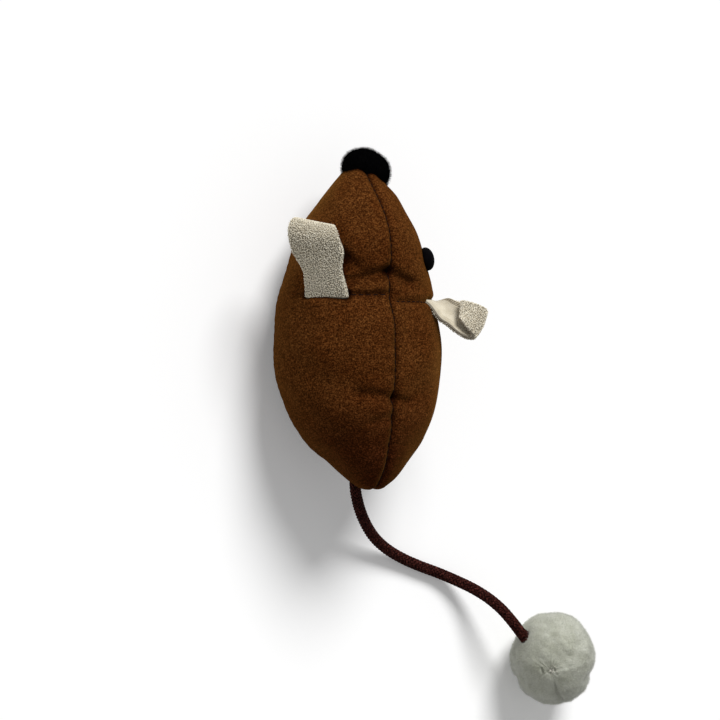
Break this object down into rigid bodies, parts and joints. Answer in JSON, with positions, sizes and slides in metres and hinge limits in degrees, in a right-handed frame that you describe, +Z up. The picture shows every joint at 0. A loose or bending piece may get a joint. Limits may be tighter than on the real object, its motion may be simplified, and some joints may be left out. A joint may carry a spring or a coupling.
{
  "type": "mouse cat toy",
  "caption": "Stuffed cloth mouse for cats, with terry ears, a small pompom nose and a braided cord tail that ends in a plush ball.",
  "frame": {"origin": "middle of the flat of the belly, on the surface that the toy stands on", "axes": "+Z up, -Y towards the nose, +X towards the mouse's own left ear"},
  "size_m": [0.1296, 0.1901, 0.0554],
  "materials": {
    "body_cloth": "smooth brushed brown cloth, matt",
    "fibre_fill": "loose white fibre",
    "seam_thread": "dark brown sewing thread",
    "ear_terry": "cream terry with short loops",
    "ear_lining": "smooth cream cloth",
    "eye_button": "satin black",
    "washer_plastic": "plain white",
    "nose_plush": "short black pile",
    "tail_braid": "round braided dark brown cord",
    "tail_plush": "short off-white plush",
    "closing_thread": "off-white sewing thread"
  },
  "bodies": {
    "body": {"side_panel_left": "body_cloth", "side_panel_right": "body_cloth", "belly_panel": "body_cloth", "body_stuffing": "fibre_fill", "back_seam_thread": "seam_thread", "belly_seam_thread_left": "seam_thread", "belly_seam_thread_right": "seam_thread", "dart_thread_left": "seam_thread", "dart_thread_right": "seam_thread", "eye_left": "eye_button", "eye_right": "eye_button", "eye_washer_left": "washer_plastic", "eye_washer_right": "washer_plastic", "nose_pompom": "nose_plush", "tail_anchor_knot": "tail_braid"},
    "ear_left": {"ear_left_terry": "ear_terry", "ear_left_lining": "ear_lining"},
    "ear_right": {"ear_right_terry": "ear_terry", "ear_right_lining": "ear_lining"},
    "tail": {"tail_cord": "tail_braid"},
    "tail_pompom": {"tail_pompom_cover": "tail_plush", "tail_pompom_stuffing": "fibre_fill", "tail_end_knot": "tail_braid", "pompom_closing_thread": "closing_thread"}
  },
  "joints": [
    {"name": "ear_left_flap", "type": "hinge", "parent": "body", "child": "ear_left", "pos_m": [0.0195, -0.01083, 0.03696], "axis": [-0.6946, 0, 0.7194], "range_deg": [0, 110], "stiffness_Nm_per_rad": 0.002},
    {"name": "ear_right_flap", "type": "hinge", "parent": "body", "child": "ear_right", "pos_m": [-0.01991, -0.00861, 0.03724], "axis": [-0.6942, 0, -0.7198], "range_deg": [-65, 8], "stiffness_Nm_per_rad": 0.002},
    {"name": "tail_swing", "type": "hinge", "parent": "body", "child": "tail", "pos_m": [0, 0.051, 0.0222], "axis": [0, 0, 1], "range_deg": [-45, 45]},
    {"name": "pompom_swing", "type": "hinge", "parent": "tail", "child": "tail_pompom", "pos_m": [-0.0698, 0.1056, 0.0162], "axis": [0, 0, 1], "range_deg": [-30, 30]}
  ]
}
